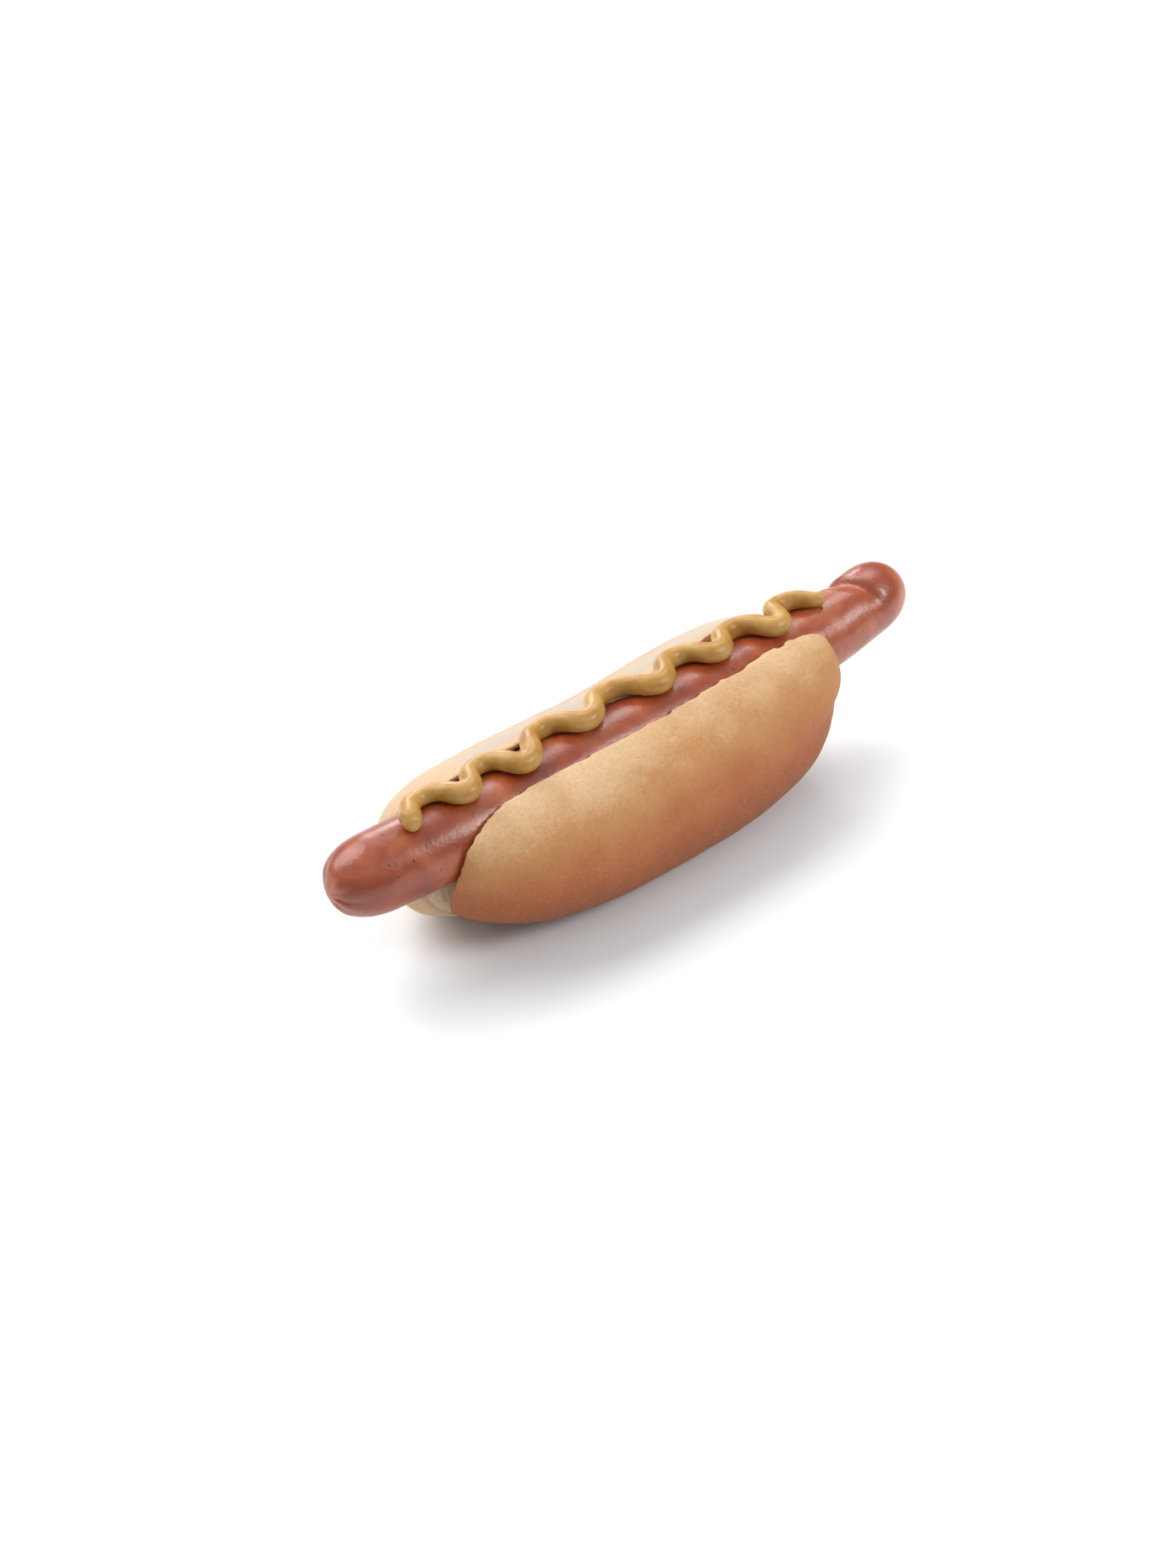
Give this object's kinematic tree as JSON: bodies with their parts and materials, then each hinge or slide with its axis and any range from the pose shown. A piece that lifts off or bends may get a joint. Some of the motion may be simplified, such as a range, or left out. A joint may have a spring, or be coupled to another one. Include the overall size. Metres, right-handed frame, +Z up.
{
  "type": "hot dog",
  "caption": "Hot dog: a soft roll slit along its top, holding a sausage longer than the roll, with a wavy bead of mustard piped along it.",
  "frame": {"origin": "on the surface the roll rests on, under the centre of the whole hot dog", "axes": "+X along the sausage towards its raised end, +Y towards the lobe that the mustard's outer turns lean on, +Z up"},
  "size_m": [0.2219, 0.0656, 0.0569],
  "materials": {
    "bread": "soft baked crust, cream at the rims and golden brown below, with matt pale crumb on the cut faces",
    "sausage_skin": "smooth cooked casing with soft highlights, a puckered tip and small dark specks",
    "mustard": "smooth ochre paste with small soft highlights"
  },
  "bodies": {
    "root": {"bun": "bread", "sausage": "sausage_skin", "mustard": "mustard"}
  },
  "joints": []
}
